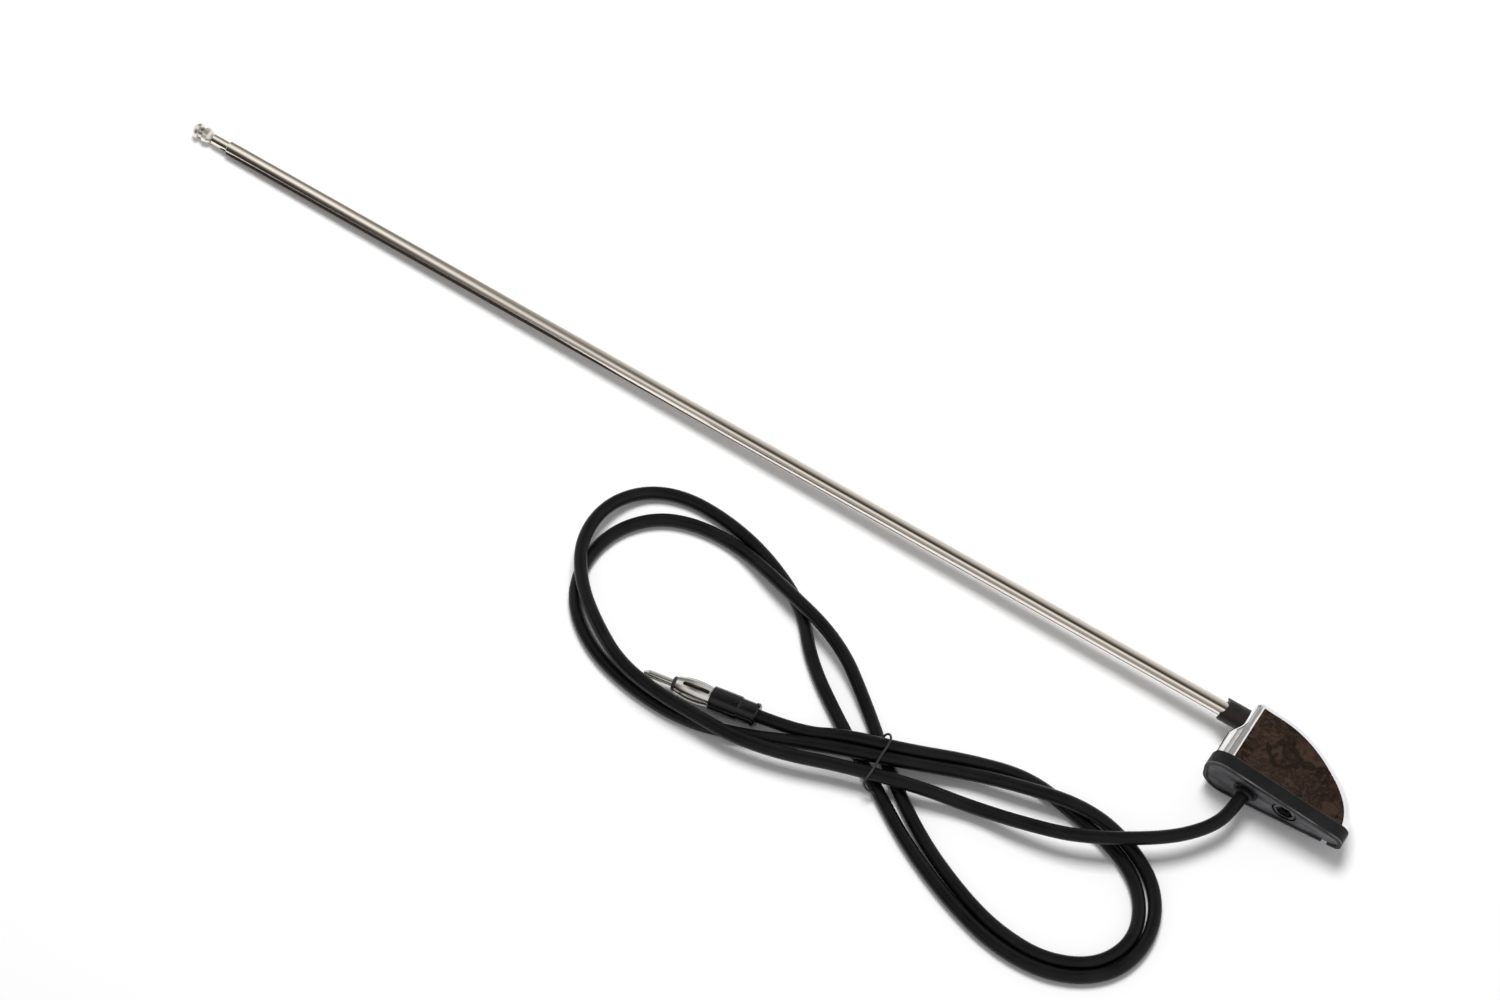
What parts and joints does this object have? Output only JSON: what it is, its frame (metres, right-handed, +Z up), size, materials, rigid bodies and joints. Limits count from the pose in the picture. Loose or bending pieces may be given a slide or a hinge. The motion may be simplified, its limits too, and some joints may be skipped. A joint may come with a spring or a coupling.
{
  "type": "car mast aerial",
  "caption": "Side-mount telescopic car aerial: chrome wedge base on a black teardrop pad, mast pushed in, and a black lead wound in a figure of eight with a radio plug, lying on its side.",
  "frame": {"origin": "centre of the pad's mounting face", "axes": "+X along the base from the mast's tip towards the base's tail, +Y out of the car's pillar (the mounting face looks along -Y), +Z up as the aerial lies on its side"},
  "size_m": [0.5304, 0.131, 0.0214],
  "materials": {
    "chrome": "polished",
    "pad_rubber": "matt, faint sheen",
    "collar_plastic": "satin",
    "carrier_plastic": "satin",
    "mast_plating": "bright nickel and chrome plate",
    "foot_brass": "turned",
    "tinned_copper": "tinned",
    "guide_bronze": "sprung, plain",
    "knob_plating": "bright plate",
    "cable_jacket": "satin",
    "tie_plastic": "satin",
    "boot_plastic": "glossy",
    "plug_nickel": "nickel plate",
    "plug_disc": "satin"
  },
  "bodies": {
    "base": {"chrome_housing": "chrome", "base_pad": "pad_rubber", "mast_collar": "collar_plastic", "mast_carrier": "carrier_plastic", "outer_tube": "mast_plating", "mast_foot": "foot_brass", "solder_tag": "tinned_copper", "inner_lead": "tinned_copper", "cable_grommet": "pad_rubber", "earth_tag": "tinned_copper", "plug_end_ring": "boot_plastic", "plug_boot": "boot_plastic", "plug_crimp": "plug_nickel", "plug_shell": "plug_nickel", "plug_insulator": "plug_disc", "plug_pin": "plug_nickel", "cable": "cable_jacket", "cable_tie": "tie_plastic"},
    "mast_middle": {"middle_tube": "mast_plating", "middle_guide": "guide_bronze"},
    "mast_inner": {"inner_rod": "mast_plating", "rod_guide": "guide_bronze", "tip_knob": "knob_plating"}
  },
  "joints": [
    {"name": "middle_slide", "type": "slide", "parent": "base", "child": "mast_middle", "axis": [-0.9999, 0, -0.0156], "range_m": [0, 0.4]},
    {"name": "inner_slide", "type": "slide", "parent": "mast_middle", "child": "mast_inner", "axis": [-0.9999, 0, -0.0156], "range_m": [0, 0.4]}
  ]
}
